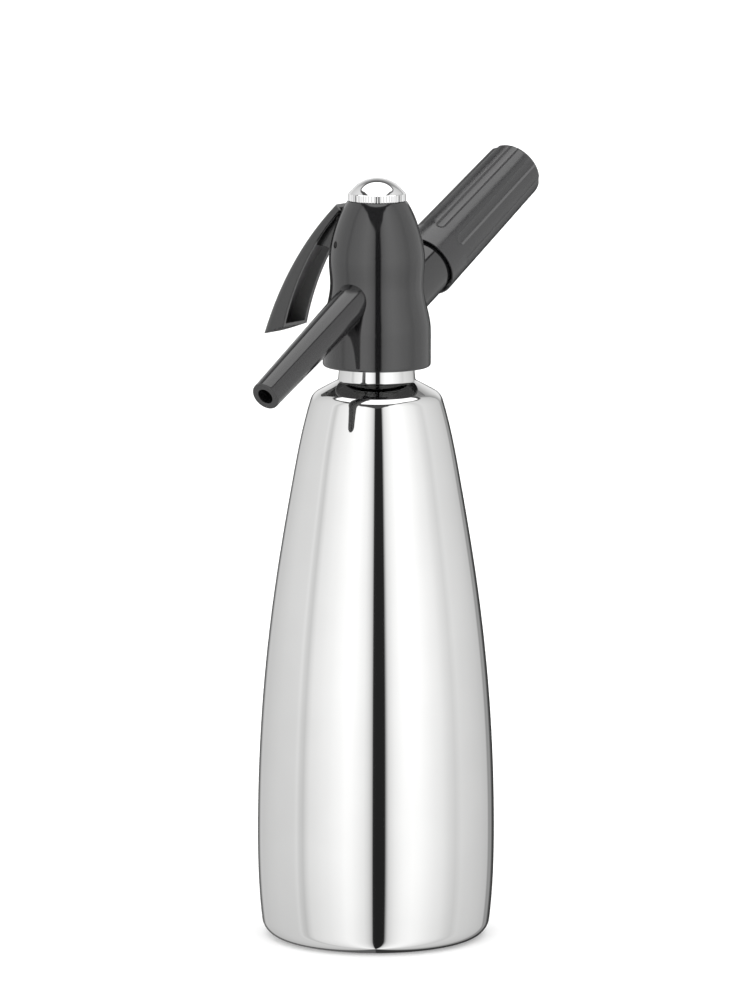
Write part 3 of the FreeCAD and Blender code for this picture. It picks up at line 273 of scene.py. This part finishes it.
# ---------------------------------------------------------------- materials
FINE_DETAIL = (3.0, 0.6)     # detail and roughness of the fine noise
SLOW_SCALE = 40.0            # scale of the slow noise
NOISE_SPAN = (0.3, 0.7)      # values that most of a noise lies between
BEVEL_SAMPLES = 4


def material(name, color, metallic=0.0, roughness=0.3, spread=0.03, specular=0.5,
             grain=1500.0, bump=0.02, depth=0.04, tone=0.05, stretch=(1, 1, 1), edge=0.0,
             pale=None):
    """Surface with a fine grain and slow changes in its colour, roughness and height.

    spread is how far the roughness varies and tone how far the colour does.  grain is the fine
    noise's scale, depth the grain's height and edge the radius of worn edges, these two in
    millimetres.  pale gives a socket that the colour is multiplied by; the lever uses it for
    painted light in its channel."""
    made = bpy.data.materials.new(name)
    made.use_nodes = True
    n = Nodes(made.node_tree)
    place = n.add("ShaderNodeTexCoord").outputs["Object"]
    fine = n.noise(n.stretched(place, stretch), grain, *FINE_DETAIL)
    slow = n.noise(place, SLOW_SCALE)
    both = n.math("MULTIPLY", n.math("ADD", fine, slow), 0.5)
    shader = n.add("ShaderNodeBsdfPrincipled")
    n.link(shader.outputs[0], n.add("ShaderNodeOutputMaterial").inputs["Surface"])
    shader.inputs["Metallic"].default_value = metallic
    shader.inputs["Specular IOR Level"].default_value = specular
    n.link(n.range(both, *NOISE_SPAN, max(0.0, roughness - spread), roughness + spread),
           shader.inputs["Roughness"])
    tint = n.add("ShaderNodeVectorMath", operation="SCALE")
    tint.inputs[0].default_value = color
    scale = n.range(slow, *NOISE_SPAN, 1.0 - tone, 1.0 + tone)
    # For the lever this multiplies in painted light: its channel's colour is made paler.
    if pale:
        scale = n.math("MULTIPLY", scale, pale(n, place))
    n.link(scale, tint.inputs["Scale"])
    n.link(tint.outputs[0], shader.inputs["Base Color"])
    relief = n.add("ShaderNodeBump")
    relief.inputs["Strength"].default_value = bump
    relief.inputs["Distance"].default_value = depth * MM
    n.link(fine, relief.inputs["Height"])
    if edge > 0:
        bevel = n.add("ShaderNodeBevel", samples=BEVEL_SAMPLES)
        bevel.inputs["Radius"].default_value = edge * MM
        n.link(bevel.outputs[0], relief.inputs["Normal"])
    n.link(relief.outputs[0], shader.inputs["Normal"])
    return made


# (height, half width) of the line between the lever's channel and its outside, low and high.
LEVER_HALF_LOW = (0.241, 0.0079)
LEVER_HALF_HIGH = (0.304, 0.0066)
ARM_HALF = 0.0045            # half width of the lever's arm
SIDE_FACING = 0.3            # how far a face may turn along X and still count as a side
CHANNEL_PAINTED_LIGHT = 9.0           # painted light: how many times paler the channel's colour is made than the lever's outside


def lever_channel_painted_light(n, place):
    """Painted light: the factor that makes the colour paler on the surfaces of the lever's channel,
    standing in for light seen inside it, and 1 on its outside and its arm.
    """
    axes = n.add("ShaderNodeSeparateXYZ")
    n.link(place, axes.inputs[0])
    normal = n.add("ShaderNodeSeparateXYZ")
    n.link(n.add("ShaderNodeNewGeometry").outputs["Normal"], normal.inputs[0])
    side = n.math("ABSOLUTE", axes.outputs["Y"])
    half = n.range(axes.outputs["Z"], LEVER_HALF_LOW[0], LEVER_HALF_HIGH[0], LEVER_HALF_LOW[1],
                   LEVER_HALF_HIGH[1], "LINEAR")
    within = n.math("LESS_THAN", side, half)
    walls = n.math("MULTIPLY", within, n.math("GREATER_THAN", side, ARM_HALF))
    walls = n.math("MULTIPLY", walls, n.math("GREATER_THAN", normal.outputs["X"], -SIDE_FACING))
    back = n.math("MULTIPLY", within, n.math("GREATER_THAN", normal.outputs["X"], SIDE_FACING))
    return n.mix(n.math("MAXIMUM", walls, back), 1.0, CHANNEL_PAINTED_LIGHT)


def make_materials():
    return {
        "steel_polished": material("polished_steel", (0.745, 0.745, 0.74), metallic=1.0,
                                   roughness=0.03, spread=0.012, grain=3000.0, bump=0.01,
                                   depth=0.01, tone=0.01, stretch=(0.2, 0.2, 1.0)),
        "chrome": material("bright_chrome", (0.80, 0.80, 0.80), metallic=1.0, roughness=0.05,
                           spread=0.02, grain=3000.0, depth=0.01, tone=0.01),
        "head_black": material("black_gloss", (0.0075, 0.0075, 0.008), roughness=0.07, spread=0.02,
                               specular=0.95, edge=0.3),
        "nozzle_black": material("black_gloss_nozzle", (0.0075, 0.0075, 0.008), roughness=0.12,
                                 specular=0.9, edge=0.3),
        # The lever's channel gets painted light: a paler colour standing in for light seen inside
        # it.
        "lever_black": material("black_lever", (0.012, 0.012, 0.012), roughness=0.2, spread=0.05,
                                specular=0.9, grain=2500.0, bump=0.05, edge=0.5, pale=lever_channel_painted_light),
        "holder_black": material("black_satin", (0.012, 0.012, 0.013), roughness=0.2, spread=0.06,
                                 specular=0.9, grain=2000.0, bump=0.6, depth=0.06, edge=0.3),
        "steel_pin": material("dark_steel_pin", (0.02, 0.02, 0.02), roughness=0.5,
                              specular=0.2),
        "steel_plain": material("plain_steel", (0.6, 0.6, 0.6), metallic=1.0,
                                roughness=0.28),
        "brass": material("turned_brass", (0.72, 0.55, 0.28), metallic=1.0, roughness=0.25),
        "tube_pale": material("pale_plastic", (0.82, 0.82, 0.78), roughness=0.45),
        "rubber": material("black_rubber", (0.03, 0.03, 0.03), roughness=0.7, bump=0.1),
    }


# ---------------------------------------------------------------- turned pieces
SEGMENTS = 384
SAME_CORNER = 0.01 * MM      # rings nearer than this are one ring
STRAIGHT = 0.99995           # cosine under which a stretch counts as curved
SHARP_ANGLE = 35.0           # edges that turn by more than this, in degrees, look sharp


def corner_rings(node, centre_z, inside):
    """Rings of a turned node's outer or inner side: (radius, height) with the normals found there,
    in the order in which they lie round the point at centre_z on the axis."""
    mesh = NODES[node].data
    rings = {}
    for loop, corner in zip(mesh.loops, mesh.corner_normals):
        place = mesh.vertices[loop.vertex_index].co
        normal = corner.vector
        r = math.hypot(place.x, place.y)
        out = (place.x * normal.x + place.y * normal.y) / r if r > SAME_CORNER else 0.0
        if (out * r + normal.z * (place.z - centre_z) < 0) != inside:
            continue
        key = (round(r / SAME_CORNER), round(place.z / SAME_CORNER))
        rings.setdefault(key, ((r, place.z), []))[1].append((out, normal.z))
    return sorted(rings.values(), key=lambda ring: math.atan2(ring[0][1] - centre_z, ring[0][0]))


def heading(normals, along):
    """Of the directions at right angles to these normals, the one nearest to along."""
    best = max(normals, key=lambda n: n[0] * along.y - n[1] * along.x)
    return Vector((-best[1], best[0])).normalized()


def smooth_outline(rings, step):
    """Outline through the rings that is square to their normals, with points about step apart."""
    points = [Vector(rings[0][0])]
    for (a, a_normals), (b, b_normals) in zip(rings, rings[1:]):
        a, b = Vector(a), Vector(b)
        chord = b - a
        if chord.length < SAME_CORNER:
            continue
        start = heading(a_normals, chord)
        end = heading(b_normals, chord)
        straight = min(start.dot(chord), end.dot(chord)) > STRAIGHT * chord.length
        count = 1 if straight else max(2, round(chord.length / step))
        for i in range(1, count):
            t = i / count
            points.append((2 * t ** 3 - 3 * t ** 2 + 1) * a + (3 * t ** 2 - 2 * t ** 3) * b
                          + (t ** 3 - 2 * t ** 2 + t) * chord.length * start
                          + (t ** 3 - t ** 2) * chord.length * end)
        points.append(b)
    return points


def revolved(outline):
    """Vertices and faces of an outline turned about Z.

    The outline's points are (radius, height), and its outside lies on the right of its way.
    A point on the axis becomes one vertex."""
    vertices = []
    rings = []
    for point in outline:
        count = 1 if point.x < SAME_CORNER else SEGMENTS
        rings.append([len(vertices) + i for i in range(count)])
        for i in range(count):
            angle = 2 * math.pi * i / SEGMENTS
            r = point.x if count > 1 else 0.0
            vertices.append((r * math.cos(angle), r * math.sin(angle), point.y))
    faces = []
    for a, b in zip(rings, rings[1:]):
        for i in range(SEGMENTS):
            j = (i + 1) % SEGMENTS
            if len(a) == 1:
                faces.append((a[0], b[j], b[i]))
            elif len(b) == 1:
                faces.append((a[i], a[j], b[0]))
            else:
                faces.append((a[i], a[j], b[j], b[i]))
    return vertices, faces


def new_piece(name, vertices, faces, look, body):
    mesh = bpy.data.meshes.new(name)
    mesh.from_pydata(vertices, [], faces)
    mesh.materials.append(look)
    mesh.polygons.foreach_set("use_smooth", [True] * len(mesh.polygons))
    mesh.set_sharp_from_angle(angle=math.radians(SHARP_ANGLE))
    piece = bpy.data.objects.new(name, mesh)
    bpy.context.scene.collection.objects.link(piece)
    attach(piece, body)
    return piece


OUTER_STEP = 1.5 * MM        # spacing of the bottle's rings outside
INNER_STEP = 8.0 * MM        # and inside


def make_bottle(look):
    """The bottle through the rings of its node, with more rings between them, so that a mirror
    finish looks smooth."""
    low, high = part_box("bottle")
    centre_z = (low[2] + high[2]) / 2
    outside = smooth_outline(corner_rings("bottle", centre_z, False), OUTER_STEP)
    inside = smooth_outline(corner_rings("bottle", centre_z, True)[::-1], INNER_STEP)
    # The node's flat-sided rings reach less far along X than a round one would.
    fit = high[0] / max(point.x for point in outside)
    outline = [Vector((point.x * fit, point.y)) for point in outside + inside]
    vertices, faces = revolved(outline)
    piece = new_piece("bottle_skin", vertices, faces, look, "bottle")
    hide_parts("bottle")


NECK_R = 15.4 * MM           # just under the head
NECK_SPREAD = 0.5 * MM       # how much wider the neck is at its foot
NECK_WALL = 1.9 * MM
NECK_CORE_IN = 0.9 * MM      # how far the neck steps in where it stands inside the head
NECK_CORE_GAP = 2.0 * MM     # and how far above the head's lower edge that starts
NECK_SINK = 0.6 * MM         # how far the foot reaches into the shoulder
NECK_HOLLOW = 1.6 * MM       # radius of the hollow corner on the shoulder
NECK_SHOULDER = 0.54         # height that the shoulder loses per radius gained
NECK_FOOT_Z = 231.55 * MM    # where the shoulder meets the neck's radius
HEAD_LOW_Z = 237.0 * MM
HOLLOW_STEPS = 12


def make_neck(look):
    """The neck, a little wider at its foot, with a hollow corner on the shoulder."""
    high_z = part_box("neck_ring")[1][2]
    low_r = NECK_R + NECK_SPREAD
    lean = math.atan2(NECK_SPREAD, HEAD_LOW_Z - NECK_FOOT_Z)
    foot_z = NECK_FOOT_Z - NECK_SPREAD * NECK_SHOULDER
    turn = math.pi / 2 - math.atan(NECK_SHOULDER) - lean
    reach = NECK_HOLLOW * math.tan(turn / 2)
    top = Vector((low_r - reach * math.sin(lean), foot_z + reach * math.cos(lean)))
    centre = top + NECK_HOLLOW * Vector((math.cos(lean), math.sin(lean)))
    hollow = []
    for i in range(HOLLOW_STEPS + 1):
        angle = math.pi + lean + turn * i / HOLLOW_STEPS
        hollow.append(centre + NECK_HOLLOW * Vector((math.cos(angle), math.sin(angle))))
    bore_r = NECK_R - NECK_WALL
    core_r = NECK_R - NECK_CORE_IN
    plain_z = HEAD_LOW_Z + NECK_CORE_GAP
    outline = [Vector((bore_r, foot_z - NECK_SINK)), Vector((low_r, foot_z - NECK_SINK))]
    outline += hollow[::-1]
    outline += [Vector((NECK_R, HEAD_LOW_Z)), Vector((NECK_R, plain_z)),
                Vector((core_r, plain_z + NECK_CORE_IN)), Vector((core_r, high_z)),
                Vector((bore_r, high_z))]
    vertices, faces = revolved(outline)
    # The bore's wall closes the ring, from its last ring of vertices to its first.
    last = len(vertices) - SEGMENTS
    for i in range(SEGMENTS):
        j = (i + 1) % SEGMENTS
        faces.append((last + i, last + j, j, i))
    piece = new_piece("neck_skin", vertices, faces, look, "bottle")
    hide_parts("neck_ring")


def make_spring(look):
    """The valve's spring, a copy of its node with its own mesh and the given finish, fixed to the
    head.
    """
    node = NODES["valve_spring"]
    piece = node.copy()
    piece.data = node.data.copy()
    piece.name = piece.data.name = "spring_coil"
    bpy.context.scene.collection.objects.link(piece)
    piece.material_slots[0].material = look
    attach(piece, "head")
    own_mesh(piece)
    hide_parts("valve_spring")


make_camera()
make_world()
make_fill_light()
make_floor()

LOOKS = make_materials()
for part in frame["record"]["subparts"]:
    for slot in NODES[part["node"]].material_slots:
        slot.material = LOOKS[part["material_slot"]]
make_bottle(LOOKS["steel_polished"])
make_neck(LOOKS["steel_polished"])
make_spring(LOOKS["steel_plain"])

view = bpy.context.scene.view_settings
view.view_transform = "Standard"
view.look = "None"
